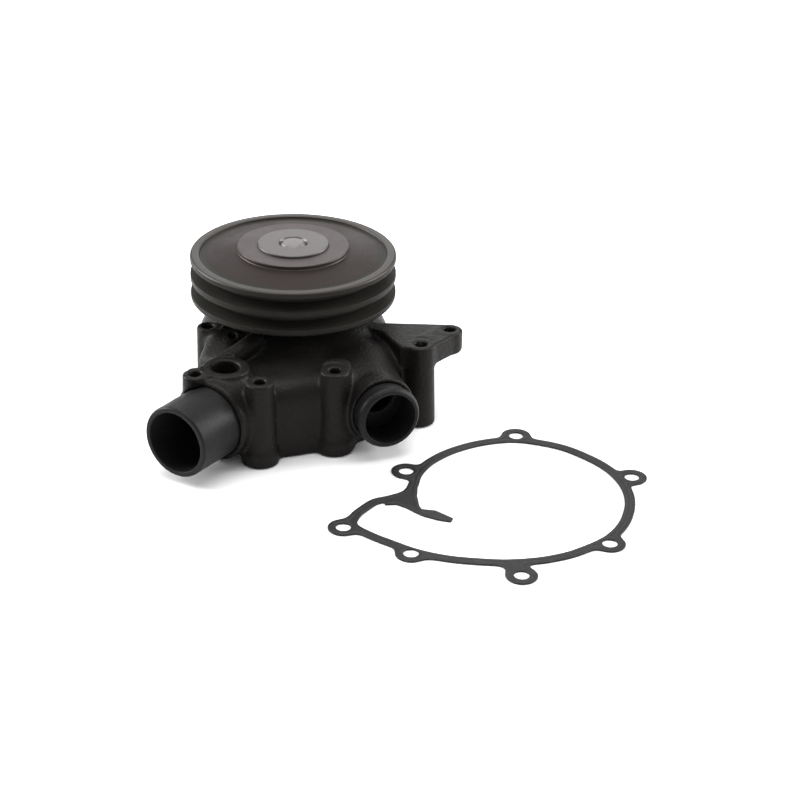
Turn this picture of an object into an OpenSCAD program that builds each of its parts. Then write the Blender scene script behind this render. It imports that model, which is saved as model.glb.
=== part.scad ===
// Engine coolant pump with a two-groove belt pulley and its loose flange gasket.
// Millimetres. +Z is up the shaft towards the pulley, and z = 0 is the flange face
// that bolts to the engine. The origin is where the shaft axis meets that face.

/* [Pulley] */
// Outside radius of the pulley lands
pulley_r = 76; // [63:0.1:92]
// Distance from one V groove to the next
groove_pitch = 14.5; // [13:0.5:18]
// Width of a V groove at its mouth
groove_w = 10.5; // [9:0.5:11]
// Depth of a V groove
groove_depth = 11; // [8:0.5:14]
// Thickness of the end lands
end_land = 4.5; // [3:0.5:7]
// Radius of the raised disc around the hub
disc_r = 41.2; // [36:0.2:50]
// Height of the pulley's rim above the flange face
rim_top = 112; // [109:0.1:135]

/* [Shaft and bearings] */
// Radius of the shaft in the bearings and the pulley hub
shaft_r = 10; // [8:0.25:12]
// Radius of the shaft in the seal and the impeller
seal_shaft_r = 8; // [6:0.25:9]
// Outside radius of a ball bearing
bearing_r = 26; // [24:0.1:31.5]
// Width of a ball bearing
bearing_w = 15; // [14:0.5:17]
// Radius of a ball
ball_r = 4.6; // [3.8:0.1:4.8]
// Length of the spacer between the bearings
spacer_len = 12; // [8:1:16]
// Height of the lower bearing's shoulder above the flange face
bearing_z = 50; // [48:0.5:54]

/* [Housing] */
// Height of the cast body's side wall
wall_top = 52; // [48:1:58]
// Thickness of the side wall where it meets the flange
wall_w = 8.5; // [7:0.5:11]
// Height of the tall bolt bosses
boss_top = 63; // [60:1:70]
// Outside radius of a bolt boss
boss_r = 10.4; // [9:0.1:12.5]
// Radius of a flange bolt hole
bolt_hole_r = 4.5; // [4:0.1:5.5]
// Radius of the tapped sensor port
port_r = 10.3; // [8:0.1:12]
// Radius of the drain passage above the seal
weep_r = 2.5; // [1.5:0.1:3]

/* [Hose pipes] */
// Outside radius of the large hose pipe
big_pipe_r = 26.2; // [22:0.1:31.5]
// Outside radius of the small hose pipe
small_pipe_r = 21.5; // [18:0.1:24]
// Wall of both hose pipes
pipe_wall = 3; // [2:0.1:4]
// Depth to which a hose pipe is pressed into the housing
pipe_seat = 12; // [10:1:13]

/* [Impeller] */
// Outside radius of the impeller
impeller_r = 42.5; // [34:0.5:44]
// Number of impeller vanes
vane_count = 7; // [5:1:9]

/* [Gasket] */
// Thickness of the gasket
gasket_t = 0.8; // [0.4:0.1:1.6]
// Radius of a bolt hole in the gasket
gasket_hole_r = 5.2; // [4.6:0.1:6]
// Width of the gasket strip
gasket_w = 8; // [6:0.5:10]

/* [Hidden] */

round_fn = 96;
press = 0.02;        // radial interference of a pressed fit
slide_gap = 0.05;    // radial clearance of a sliding fit
turn_gap = 0.35;     // clearance between parts that turn past each other
past = 1;            // how far a cut runs past the face that it opens

// Centre line of the flange, counter-clockwise from the +X side: a spiral that opens
// into the outlet pocket at the front.
flange_path = [[91, 0], [88.5, 25], [79.5, 45.5], [64.5, 63.5], [47.5, 76.5], [28, 84.5],
    [8, 87], [-12, 84.5], [-30, 79], [-45, 69.5], [-58, 57], [-65, 42], [-68.5, 25],
    [-68.5, 8], [-66, -6], [-61, -20], [-52, -34], [-40, -45.5], [-34, -55], [-34, -68],
    [-35.5, -79], [-32, -90], [-26, -102], [-16, -110], [0, -107], [16, -101], [35, -92.5],
    [52, -80], [66, -64.5], [77.5, -48.5], [86, -30], [90, -14]];
path_steps = 4;
// Bolt holes, counter-clockwise from the front pocket
bolts = [[-17.5, -116.5], [34.5, -96.5], [95, -50.5], [93.5, 23.5], [30, 93.5],
    [-63, 60.5], [-60.5, -37.3]];
tall_bolts = [0, 1, 2];
side_bolt = 6;
low_bolts = [3, 4, 5];
side_boss_top = boss_top + 5;
low_boss_top = 28;
// Where each boss is tied into the side wall
roots = [[-17, -104], [38, -84], [77, -45], [82, 20], [27, 80], [-55, 53], [-52, -29]];

chamber_top = 43;    // ceiling of the suction chamber
volute_top = 21;     // ceiling of the spiral
eye_z = 25;          // top of the partition above the spiral
chamber_r = 58;
eye_r = 30;
dome_r = 74;
dome_edge_r = 65;
cone_top_z = 74;
tower_r = bearing_r + 8;
circlip_t = 1.6;
circlip_deep = 1.3;
upper_z = bearing_z + bearing_w + spacer_len;
circlip_z = upper_z + bearing_w + 0.15;
tower_top = circlip_z + circlip_t + 1.6;
seal_bore_r = 18;
seal_wall = 5;
seal_top = 44;
drain_r = 20;
weep_at = [-41.5, -49.5];
weep_dist = norm(weep_at);
weep_z = 47;

big_dir = [-0.545, -0.838];
big_mouth = [-74, -150.5];
big_z = big_pipe_r + 4.8;
big_len = 38;        // from the mouth to the face of its boss
big_boss_r = big_pipe_r + 4;
port_top = max(boss_top, big_z + big_boss_r + 1);
small_dir = [0.4, -0.9165];
small_mouth = [74.5, -110.8];
small_z = small_pipe_r + 10.5;
small_len = 14;
small_boss_r = small_pipe_r + 3.5;
bead = 1.7;
seat_grow = 0.5;      // the pressed end of a hose pipe is this much larger
hose_room = 5;        // room for the hose around the large pipe
passage_r = 13;
passage_wall = 5;
passage_from = big_mouth - big_dir * 43 + 5 * [big_dir[1], -big_dir[0]];
passage_z = eye_z + passage_r + 1;
side_hole = [-63, -107];
port_at = [-43, -94.5];
port_boss_r = 18;
tapped_r = 4.2;
tapped_deep = 7;
arm_end = [116, -25];
arm_t = 16;

pulley_h = 2 * end_land + groove_pitch + groove_w;
pulley_bottom = rim_top - pulley_h;
rim_w = 6.2;
web_t = 5;
disc_top = rim_top + 5.6;
hub_top = rim_top + 7.9;
hub_r = 26.3;
hub_nose_r = 17;
hub_bottom = tower_top + 1.5;
groove_root = groove_w - 2 * groove_depth * tan(19);
shaft_top = hub_top + 0.5;
shaft_bottom = 2.5;
step_z = seal_top + 1;

plate_z = 3;
plate_t = 3;
vane_top = 19;
vane_t = 3.2;
vane_root_r = 19.5;
hub_top_z = 24;
seat_r = 16.2;
seat_z = 19.8;
ceramic_r = 14.8;
ceramic_t = 4.2;
face_gap = 0.05;
carbon_z = seat_z + 1.4 + ceramic_t + face_gap;

// Where the gasket lies on the bench, and how it is turned
gasket_at = [151, -158];
gasket_turn = -56.1;

// --- Curves ---------------------------------------------------------------------------

function wrap(i, n) = (i + n) % n;
function blend(a, b, c, d, t) = 0.5 * (2 * b + (c - a) * t
    + (2 * a - 5 * b + 4 * c - d) * t * t + (3 * b - a - 3 * c + d) * t * t * t);
function closed_curve(p, steps) = [for (i = [0 : len(p) - 1]) for (k = [0 : steps - 1])
    blend(p[wrap(i - 1, len(p))], p[i], p[wrap(i + 1, len(p))], p[wrap(i + 2, len(p))],
        k / steps)];
function side_step(p, i, d) = let (n = len(p), t = p[wrap(i + 1, n)] - p[wrap(i - 1, n)])
    p[i] + d * [t[1], -t[0]] / norm(t);
function shifted(p, d) = [for (i = [0 : len(p) - 1]) side_step(p, i, d)];

flange_line = closed_curve(flange_path, path_steps);

module flange_shape(w) {
    polygon(shifted(flange_line, w / 2));
}

module flange_room(w) {
    polygon(shifted(flange_line, -w / 2));
}

// The cutwater: a blade that reaches from the spiral's start towards the impeller
module tongue_shape() {
    polygon([[-50, -40], [-38, -42.5], [-27, -50.5], [-14, -57.2], [-10, -58], [-3.5, -51],
        [11.5, -46.8], [14.5, -50.5], [7, -57], [-2, -62], [-10, -64.5], [-18, -66],
        [-25, -69], [-28.5, -76], [-37, -72], [-38, -58]]);
}

// A flat-sided web from one point to another
module web(a, b, w) {
    d = b - a;
    translate(a) rotate(atan2(d[1], d[0])) translate([0, -w / 2]) square([norm(d), w]);
}

module level_pipe(from, dir, z, r, len) {
    translate([from[0], from[1], z]) rotate([0, 0, atan2(dir[1], dir[0])])
        rotate([0, -90, 0]) cylinder(r = r, h = len, $fn = round_fn);
}

module ring(r_in, r_out, z, h) {
    translate([0, 0, z]) rotate_extrude($fn = round_fn)
        translate([r_in, 0]) square([r_out - r_in, h]);
}

// --- Housing --------------------------------------------------------------------------

function boss_height(i) = i == side_bolt ? side_boss_top
    : i > tall_bolts[len(tall_bolts) - 1] ? low_boss_top : boss_top;

module at_bolt(i) {
    translate([bolts[i][0], bolts[i][1], 0]) children();
}

module cast_outside() {
    linear_extrude(wall_top) flange_shape(wall_w);
    for (i = tall_bolts) {
        at_bolt(i) cylinder(r = boss_r, h = boss_top, $fn = round_fn);
        linear_extrude(wall_top - 2) web(bolts[i], roots[i], boss_r * 1.6);
    }
    for (i = low_bolts) {
        at_bolt(i) cylinder(r = boss_r, h = low_boss_top, $fn = round_fn);
        linear_extrude(low_boss_top - 2) web(bolts[i], roots[i], boss_r * 1.6);
    }
    at_bolt(side_bolt) cylinder(r = boss_r - 2, h = side_boss_top, $fn = round_fn);
    linear_extrude(wall_top + 3) web(bolts[side_bolt], roots[side_bolt], boss_r * 1.5);
    rotate_extrude($fn = round_fn) polygon([[0, wall_top - 3], [dome_r, wall_top - 3],
        [dome_edge_r, boss_top], [tower_r + 8, cone_top_z], [0, cone_top_z]]);
    cylinder(r = tower_r, h = tower_top, $fn = round_fn);
    big_boss();
    small_boss();
    translate([port_at[0], port_at[1], big_z])
        cylinder(r = port_boss_r, h = port_top - big_z, $fn = round_fn);
    translate([side_hole[0], side_hole[1], big_z])
        cylinder(r = boss_r - 0.6, h = port_top - big_z, $fn = round_fn);
    arm();
}

module big_boss() {
    level_pipe(big_mouth - big_dir * big_len, big_dir, big_z, big_boss_r, 30);
    // Wall of the passage that leads on to the outlet pocket
    level_pipe(passage_from + big_dir * 2, big_dir, big_z, passage_r + passage_wall, 46);
}

module small_boss() {
    level_pipe(small_mouth - small_dir * small_len, small_dir, small_z, small_boss_r, 33);
}

module arm() {
    translate([0, 0, boss_top - arm_t]) linear_extrude(arm_t) {
        translate(arm_end) circle(r = boss_r, $fn = round_fn);
        web(arm_end, bolts[2], boss_r * 1.5);
        polygon([arm_end + [-2, boss_r - 1], arm_end + [-4, -boss_r], bolts[2] + [0, 4],
            [72, -44], [40, -20], [40, 8], [66, 2]]);
    }
}

module cavities() {
    // Spiral round the impeller
    difference() {
        translate([0, 0, -past]) linear_extrude(volute_top + past) flange_room(wall_w);
        translate([0, 0, -2 * past]) linear_extrude(volute_top + 4 * past) tongue_shape();
    }
    // Outlet pocket, taller than the spiral
    translate([0, 0, -past]) linear_extrude(chamber_top + past)
        polygon([[-29, -77], [-26, -90], [-21, -99], [-13, -104], [-2, -102], [12, -96.5],
            [26, -90.5], [24, -78], [2, -69], [-10, -68.5], [-20, -70]]);
    // Suction chamber and the impeller's eye
    difference() {
        translate([0, 0, eye_z]) cylinder(r = chamber_r, h = chamber_top - eye_z, $fn = round_fn);
        translate([0, 0, eye_z + 4])
            cylinder(r = seal_bore_r + seal_wall, h = chamber_top, $fn = round_fn);
    }
    translate([0, 0, volute_top - past])
        cylinder(r = eye_r, h = eye_z - volute_top + 2 * past, $fn = round_fn);
    // Seal bore, drain chamber and bearing bore
    cylinder(r = seal_bore_r, h = seal_top, $fn = round_fn);
    translate([0, 0, seal_top - past])
        cylinder(r = drain_r, h = bearing_z - seal_top + 2 * past, $fn = round_fn);
    translate([0, 0, bearing_z]) cylinder(r = bearing_r, h = tower_top, $fn = round_fn);
    ring(bearing_r - past, bearing_r + circlip_deep, circlip_z - 0.1, circlip_t + 0.2);
    // Drain to the open air
    level_pipe([0, 0], -weep_at, weep_z, weep_r, weep_dist);
    translate([weep_at[0], weep_at[1], weep_z - weep_r - past])
        cylinder(r = weep_r + 0.6, h = cone_top_z, $fn = round_fn);
}

module passages() {
    // Sockets of the two hose pipes, and room for the large hose in front of its socket
    level_pipe(big_mouth - big_dir * (big_len - past), big_dir, big_z,
        big_pipe_r + seat_grow, pipe_seat + past);
    level_pipe(small_mouth - small_dir * (small_len - past), small_dir, small_z,
        small_pipe_r + seat_grow, pipe_seat + past);
    level_pipe(big_mouth, big_dir, big_z, big_pipe_r + hose_room, big_len);
    // From the large pipe to the outlet pocket
    level_pipe(passage_from, big_dir, big_z, passage_r, 40);
    // From the small pipe, above the spiral, to the suction chamber
    level_pipe(small_mouth - small_dir * 22, small_dir, passage_z, passage_r, 46);
}

module drillings() {
    for (i = [0 : len(bolts) - 1]) at_bolt(i) translate([0, 0, -past])
        cylinder(r = bolt_hole_r, h = boss_height(i) + 2 * past, $fn = round_fn);
    // Room for the bolt heads above the low bosses
    for (i = low_bolts) at_bolt(i) translate([0, 0, low_boss_top])
        cylinder(r = boss_r - 0.4, h = wall_top, $fn = round_fn);
    translate([port_at[0], port_at[1], big_z + 8])
        cylinder(r = port_r, h = boss_top, $fn = round_fn);
    translate([side_hole[0], side_hole[1], port_top - tapped_deep])
        cylinder(r = tapped_r, h = tapped_deep + past, $fn = round_fn);
    translate([arm_end[0], arm_end[1], boss_top - arm_t - past])
        cylinder(r = bolt_hole_r, h = arm_t + 2 * past, $fn = round_fn);
}

module housing() {
    color([0.16, 0.15, 0.15]) difference() {
        cast_outside();
        cavities();
        passages();
        drillings();
    }
}

// --- Hose pipes -----------------------------------------------------------------------

module hose_pipe(r, wall, len, mouth) {
    rotate_extrude($fn = round_fn) polygon(concat([[r - wall, 0],
        [r + seat_grow + press, 0], [r + seat_grow + press, pipe_seat], [r, pipe_seat]],
        mouth, [[r - wall, len]]));
}

module lay_pipe(mouth, dir, z, len) {
    foot = mouth - dir * len;
    translate([foot[0], foot[1], z]) rotate([0, 0, atan2(dir[1], dir[0])])
        rotate([0, 90, 0]) children();
}

module large_hose_pipe() {
    len = big_len + pipe_seat;
    color([0.14, 0.14, 0.14]) lay_pipe(big_mouth, big_dir, big_z, len)
        hose_pipe(big_pipe_r, pipe_wall + 1, len,
            [[big_pipe_r, len - 1.5], [big_pipe_r - 1.5, len]]);
}

module small_hose_pipe() {
    len = small_len + pipe_seat;
    color([0.14, 0.14, 0.14]) lay_pipe(small_mouth, small_dir, small_z, len)
        hose_pipe(small_pipe_r, pipe_wall, len,
            [[small_pipe_r, len - 7.5], [small_pipe_r + bead, len - 5.5],
                [small_pipe_r + bead, len - 2.5], [small_pipe_r - 0.6, len]]);
}

// --- Bearings -------------------------------------------------------------------------

ball_count = 7;
ball_pitch_r = (shaft_r + bearing_r) / 2;
race_r = ball_r + 0.15;
outer_land_r = ball_pitch_r + ball_r * 0.76;
inner_land_r = ball_pitch_r - ball_r * 0.76;
cage_half = 1.4;
cage_h = 2 * ball_r + 2.4;

module race_ring(r_in, r_out, z) {
    color([0.62, 0.63, 0.65]) translate([0, 0, z]) rotate_extrude($fn = round_fn)
        difference() {
            translate([r_in, 0]) square([r_out - r_in, bearing_w]);
            translate([ball_pitch_r, bearing_w / 2]) circle(r = race_r, $fn = round_fn);
        }
}

module at_balls(z) {
    for (i = [0 : ball_count - 1]) rotate([0, 0, i * 360 / ball_count])
        translate([ball_pitch_r, 0, z + bearing_w / 2]) children();
}

module balls(z) {
    color([0.75, 0.76, 0.78]) at_balls(z) sphere(r = ball_r, $fn = 48);
}

module cage(z) {
    color([0.55, 0.50, 0.38]) difference() {
        ring(ball_pitch_r - cage_half, ball_pitch_r + cage_half,
            z + bearing_w / 2 - cage_h / 2, cage_h);
        at_balls(z) sphere(r = ball_r + 0.1, $fn = 48);
    }
}

module shield(z) {
    color([0.35, 0.20, 0.12])
        ring(inner_land_r + turn_gap, outer_land_r - slide_gap, z, 1);
}

module lower_bearing_outer() { race_ring(outer_land_r, bearing_r + press, bearing_z); }
module lower_bearing_inner() { race_ring(shaft_r - press, inner_land_r, bearing_z); }
module lower_bearing_balls() { balls(bearing_z); }
module lower_bearing_cage() { cage(bearing_z); }
module lower_bearing_shield() { shield(bearing_z + 0.3); }
module upper_bearing_outer() { race_ring(outer_land_r, bearing_r + press, upper_z); }
module upper_bearing_inner() { race_ring(shaft_r - press, inner_land_r, upper_z); }
module upper_bearing_balls() { balls(upper_z); }
module upper_bearing_cage() { cage(upper_z); }
module upper_bearing_shield() { shield(upper_z + bearing_w - 1.3); }

// Steel tube that holds the inner rings apart on the shaft
module bearing_spacer() {
    color([0.5, 0.5, 0.52])
        ring(shaft_r + slide_gap, shaft_r + 3, bearing_z + bearing_w, spacer_len);
}

// Sprung ring with two eyes, in the groove above the upper bearing
module circlip() {
    eye_reach = 5;
    color([0.3, 0.3, 0.32]) translate([0, 0, circlip_z]) difference() {
        union() {
            difference() {
                cylinder(r = bearing_r + circlip_deep - 0.15, h = circlip_t, $fn = round_fn);
                translate([0, 0, -past])
                    cylinder(r = bearing_r - 2.4, h = circlip_t + 2 * past, $fn = round_fn);
            }
            for (a = [-12, 12]) rotate([0, 0, a]) translate([bearing_r - eye_reach / 2 - 0.6, 0, 0])
                cylinder(r = eye_reach / 2, h = circlip_t, $fn = 48);
        }
        translate([bearing_r - 8, -2.6, -past]) cube([12, 5.2, circlip_t + 2 * past]);
        for (a = [-12, 12]) rotate([0, 0, a])
            translate([bearing_r - eye_reach / 2 - 0.9, 0, -past])
                cylinder(r = 1.1, h = circlip_t + 2 * past, $fn = 32);
    }
}

// --- Rotor ----------------------------------------------------------------------------

module shaft() {
    chamfer = 2.4;
    color([0.7, 0.7, 0.7]) rotate_extrude($fn = round_fn) polygon([[0, shaft_bottom],
        [seal_shaft_r - 1, shaft_bottom], [seal_shaft_r, shaft_bottom + 1],
        [seal_shaft_r, step_z], [shaft_r, step_z], [shaft_r, shaft_top - 0.8],
        [shaft_r - chamfer, shaft_top], [0, shaft_top]]);
}

module pulley_hub() {
    bore_chamfer = 1.2;
    color([0.56, 0.54, 0.53]) rotate_extrude($fn = round_fn) polygon([
        [shaft_r - press, hub_bottom], [hub_nose_r, hub_bottom],
        [hub_nose_r, rim_top - 2], [hub_r, rim_top - 2], [hub_r, hub_top - 0.6],
        [hub_r - 0.6, hub_top], [shaft_r + bore_chamfer, hub_top],
        [shaft_r - press, hub_top - bore_chamfer]]);
}

// V groove cut from the rim, with flat root
function groove(z) = [[pulley_r, z + groove_w / 2],
    [pulley_r - groove_depth, z + groove_root / 2],
    [pulley_r - groove_depth, z - groove_root / 2], [pulley_r, z - groove_w / 2]];

module pulley() {
    top_groove_z = rim_top - end_land - groove_w / 2;
    low_groove_z = top_groove_z - groove_pitch;
    web_rise = 4;
    web_z = rim_top - 1.5;
    rim_in = pulley_r - rim_w;
    skirt_in = pulley_r - groove_depth - 4.5;
    seat_z0 = rim_top - 2;
    color([0.36, 0.34, 0.33]) rotate_extrude($fn = round_fn) polygon(concat(
        [[pulley_r - 1.2, rim_top]],
        [[pulley_r, rim_top - 1.2]], groove(top_groove_z), groove(low_groove_z),
        [[pulley_r, pulley_bottom + 1], [pulley_r - 1, pulley_bottom],
            [skirt_in, pulley_bottom], [skirt_in, web_z - web_t - 4],
            [skirt_in - 4, web_z - web_t], [disc_r, web_z - web_t + web_rise],
            [hub_r - 2, web_z - web_t + web_rise], [hub_r - 2, seat_z0],
            [hub_r - press, seat_z0],
            [hub_r - press, disc_top + 0.6], [disc_r - 0.6, disc_top],
            [disc_r, disc_top - 0.6], [disc_r, web_z + web_rise],
            [rim_in - 1.5, web_z], [rim_in + 0.6, rim_top]]));
}

// A vane swept back from the hub to the rim
module vane_shape() {
    bend_r = 27;
    bend_at = [vane_root_r + 8, -bend_r + 3];
    difference() {
        intersection() {
            translate(bend_at) circle(r = bend_r + vane_t / 2, $fn = round_fn);
            circle(r = impeller_r, $fn = round_fn);
            translate([0, -60]) square([60, 80]);
        }
        translate(bend_at) circle(r = bend_r - vane_t / 2, $fn = round_fn);
        circle(r = vane_root_r - 3, $fn = round_fn);
        translate([-60, -60]) square([60 + vane_root_r - 4, 120]);
    }
}

module impeller() {
    hub_out_r = seat_r + 2.4;
    color([0.40, 0.39, 0.38]) union() {
        rotate_extrude($fn = round_fn) polygon([[seal_shaft_r - press, plate_z],
            [impeller_r, plate_z], [impeller_r, plate_z + plate_t],
            [hub_out_r + 3, plate_z + plate_t + 0.6], [hub_out_r, plate_z + plate_t + 4],
            [hub_out_r, hub_top_z], [seat_r, hub_top_z], [seat_r, seat_z],
            [seal_shaft_r - press, seat_z]]);
        for (i = [0 : vane_count - 1]) rotate([0, 0, i * 360 / vane_count])
            translate([0, 0, plate_z + 0.5]) linear_extrude(vane_top - plate_z - 0.5)
                vane_shape();
    }
}

// Thrower disc that keeps drips from the bearing
module slinger() {
    color([0.45, 0.45, 0.46]) rotate_extrude($fn = round_fn) polygon([
        [shaft_r - press, weep_z - 0.6], [shaft_r + 2, weep_z - 0.6],
        [drain_r - 1.5, weep_z + 0.4], [drain_r - 1.5, weep_z + 1.2],
        [shaft_r + 2, weep_z + 0.6], [shaft_r - press, weep_z + 0.6]]);
}

// --- Face seal ------------------------------------------------------------------------

cup_z = 30;
cup_wall = 1;

module seal_cup() {
    color([0.72, 0.60, 0.35]) rotate_extrude($fn = round_fn) polygon([
        [seal_bore_r + press, cup_z], [seal_bore_r + press, seal_top - 1.5],
        [shaft_r + 1.5, seal_top - 1.5], [shaft_r + 1.5, seal_top - 1.5 - cup_wall],
        [seal_bore_r - cup_wall, seal_top - 1.5 - cup_wall], [seal_bore_r - cup_wall, cup_z]]);
}

module seal_bellows() {
    top = seal_top - 1.5 - cup_wall;
    low = carbon_z + 2.2;
    mid = (top + low) / 2;
    inner = seal_shaft_r + 1.2;
    color([0.08, 0.08, 0.08]) rotate_extrude($fn = round_fn) polygon([
        [inner, low], [inner + 4.4, low], [inner + 4.4, low + 1.2], [inner + 1.4, low + 2],
        [inner + 2.6, mid], [inner + 1.4, top - 2], [inner + 4.4, top - 1.2],
        [inner + 4.4, top], [inner, top], [inner, top - 1.6], [inner + 1.2, mid],
        [inner, low + 1.6]]);
}

// Coil spring round the bellows: rings of a helix joined into one tube
module seal_spring() {
    wire_r = 0.7;
    coil_r = seal_bore_r - cup_wall - wire_r - 0.5;
    turns = 3.5;
    z0 = carbon_z + 2.6 + wire_r;
    z1 = seal_top - 1.5 - cup_wall - wire_r - 0.3;
    sides = 6;
    steps = 84;
    points = [for (i = [0 : steps]) let (a = 360 * turns * i / steps)
        for (k = [0 : sides - 1]) let (b = 360 * k / sides, r = coil_r + wire_r * cos(b))
            [r * cos(a), r * sin(a), z0 + (z1 - z0) * i / steps + wire_r * sin(b)]];
    walls = [for (i = [0 : steps - 1]) for (k = [0 : sides - 1])
        [i * sides + k, (i + 1) * sides + k, (i + 1) * sides + (k + 1) % sides,
            i * sides + (k + 1) % sides]];
    ends = [[for (k = [0 : sides - 1]) k],
        [for (k = [0 : sides - 1]) steps * sides + sides - 1 - k]];
    color([0.7, 0.7, 0.72]) polyhedron(points, concat(walls, ends), 6);
}

module carbon_ring() {
    color([0.12, 0.12, 0.13]) rotate_extrude($fn = round_fn) polygon([
        [seal_shaft_r + 1.2, carbon_z + 0.6], [seal_shaft_r + 3, carbon_z],
        [seal_shaft_r + 5, carbon_z], [seal_shaft_r + 6.2, carbon_z + 0.8],
        [seal_shaft_r + 6.2, carbon_z + 2.15], [seal_shaft_r + 1.2, carbon_z + 2.15]]);
}

module ceramic_ring() {
    color([0.85, 0.83, 0.78]) ring(seal_shaft_r + 1.5, ceramic_r, seat_z + 1.4, ceramic_t);
}

module ceramic_boot() {
    color([0.10, 0.10, 0.10]) rotate_extrude($fn = round_fn) polygon([
        [seal_shaft_r + 0.6, seat_z], [seat_r, seat_z], [seat_r, hub_top_z],
        [ceramic_r, hub_top_z], [ceramic_r, seat_z + 1.4], [seal_shaft_r + 0.6, seat_z + 1.4]]);
}

// --- Gasket ---------------------------------------------------------------------------

module gasket() {
    lug_r = 10.8;
    bridge_w = 15;
    color([0.22, 0.22, 0.22]) translate([gasket_at[0], gasket_at[1], 0])
        rotate([0, 0, gasket_turn]) linear_extrude(gasket_t) difference() {
            union() {
                flange_shape(gasket_w);
                for (i = [0 : len(bolts) - 1]) {
                    translate(bolts[i]) circle(r = lug_r, $fn = round_fn);
                    web(bolts[i], roots[i], bridge_w);
                }
            }
            difference() {
                flange_room(gasket_w);
                tongue_shape();
            }
            for (p = bolts) translate(p) circle(r = gasket_hole_r, $fn = round_fn);
        }
}

housing();
large_hose_pipe();
small_hose_pipe();
lower_bearing_outer();
lower_bearing_inner();
lower_bearing_balls();
lower_bearing_cage();
lower_bearing_shield();
upper_bearing_outer();
upper_bearing_inner();
upper_bearing_balls();
upper_bearing_cage();
upper_bearing_shield();
bearing_spacer();
circlip();
shaft();
pulley_hub();
pulley();
impeller();
slinger();
seal_cup();
seal_bellows();
seal_spring();
carbon_ring();
ceramic_ring();
ceramic_boot();
gasket();
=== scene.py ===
import math

import bmesh
import bpy
import numpy as np
from mathutils import Matrix, Vector


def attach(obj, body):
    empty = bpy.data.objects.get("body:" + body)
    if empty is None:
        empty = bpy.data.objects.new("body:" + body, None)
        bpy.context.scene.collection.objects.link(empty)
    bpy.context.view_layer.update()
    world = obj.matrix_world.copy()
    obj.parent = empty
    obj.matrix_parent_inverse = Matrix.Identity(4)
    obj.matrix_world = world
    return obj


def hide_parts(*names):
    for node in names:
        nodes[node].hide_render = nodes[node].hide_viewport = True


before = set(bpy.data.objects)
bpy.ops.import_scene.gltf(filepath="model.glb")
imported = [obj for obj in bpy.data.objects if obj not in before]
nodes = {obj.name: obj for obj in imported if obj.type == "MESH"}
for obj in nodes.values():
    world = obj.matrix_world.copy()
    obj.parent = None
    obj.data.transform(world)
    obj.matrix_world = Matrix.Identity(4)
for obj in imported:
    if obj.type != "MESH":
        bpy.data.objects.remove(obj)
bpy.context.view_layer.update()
MM = 0.001

# --- Housing casting ---------------------------------------------------------------------
# One sand casting in grey iron: a spiral skirt, a domed shoulder and a bearing tower. It is
# dipped in thin matte black after the faces and holes are machined. The soft fillets of the
# casting come from blending solids together on a grid, and the machined cuts are sharper.

GRID = 1.25
skirt_wall, boss_top = 8.5, 63.0
tower_r, tower_top = 34.0, 95.35
flange_points = [
    (91, 0), (88.5, 25), (79.5, 45.5), (64.5, 63.5), (47.5, 76.5), (28, 84.5), (8, 87),
    (-12, 84.5), (-30, 79), (-45, 69.5), (-58, 57), (-65, 42), (-68.5, 25), (-68.5, 8),
    (-66, -6), (-61, -20), (-52, -34), (-40, -45.5), (-34, -55), (-34, -68), (-35.5, -79),
    (-32, -90), (-26, -102), (-16, -110), (0, -107), (16, -101), (35, -92.5), (52, -80),
    (66, -64.5), (77.5, -48.5), (86, -30), (90, -14)]
bolts = [(-17.5, -116.5), (34.5, -96.5), (95, -50.5), (93.5, 23.5), (30, 93.5),
         (-63, 60.5), (-60.5, -37.3)]
roots = [(-17, -104), (38, -84), (77, -45), (82, 20), (27, 80), (-55, 53), (-52, -29)]
big_way, big_mouth, big_z, big_r = (-0.545, -0.838), (-74.0, -150.5), 31.0, 26.2
small_way, small_mouth, small_z, small_r = (0.4, -0.9165), (74.5, -110.8), 32.0, 21.5
port_at, side_hole, arm_end = (-43.0, -94.5), (-63.0, -107.0), (116.0, -25.0)
drain_at = (-41.5, -49.5)
bolt_hole_r, spot_face_r = 4.5, 11.0
port_r, port_face_r, tapped_r, drain_r = 10.3, 16.6, 4.2, 2.9
passage_r, passage_boss_r, passage_back = 13, 20, 43
big_face_back, small_face_back, socket_play = 38, 14, 0.3
neck_back, neck_r = 18, 24.6
arm_t = 16
tongue = [(-50, -40), (-38, -42.5), (-27, -50.5), (-14, -57.2), (-10, -58), (-3.5, -51),
          (11.5, -46.8), (14.5, -50.5), (7, -57), (-2, -62), (-10, -64.5), (-18, -66),
          (-25, -69), (-28.5, -76), (-37, -72), (-38, -58)]
pocket = [(-29, -77), (-26, -90), (-21, -99), (-13, -104), (-2, -102), (12, -96.5),
          (26, -90.5), (24, -78), (2, -69), (-10, -68.5), (-20, -70)]


def closed_curve(points, steps):
    """Round line through the points, as the pattern maker's spline draws it."""
    p = np.array(points, float)
    a, b, c, d = (np.roll(p, k, 0) for k in (1, 0, -1, -2))
    rows = [0.5 * (2 * b + (c - a) * t + (2 * a - 5 * b + 4 * c - d) * t * t
                   + (3 * b - a - 3 * c + d) * t ** 3) for t in np.arange(steps) / steps]
    return np.stack(rows, 1).reshape(-1, 2)


def outline_distance(points, x, y):
    """Distance from a closed outline, less than nothing inside it."""
    p = np.array(points, float)
    q = np.roll(p, -1, 0)
    near = np.full(np.broadcast(x, y).shape, 1e9)
    inside = np.zeros(near.shape, bool)
    for (ax, ay), (bx, by) in zip(p, q):
        ex, ey = bx - ax, by - ay
        along = np.clip(((x - ax) * ex + (y - ay) * ey) / (ex * ex + ey * ey), 0, 1)
        near = np.minimum(near, np.hypot(x - ax - along * ex, y - ay - along * ey))
        if ay != by:
            inside ^= ((ay > y) != (by > y)) & (x < ex * (y - ay) / ey + ax)
    return np.where(inside, -near, near)


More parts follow.
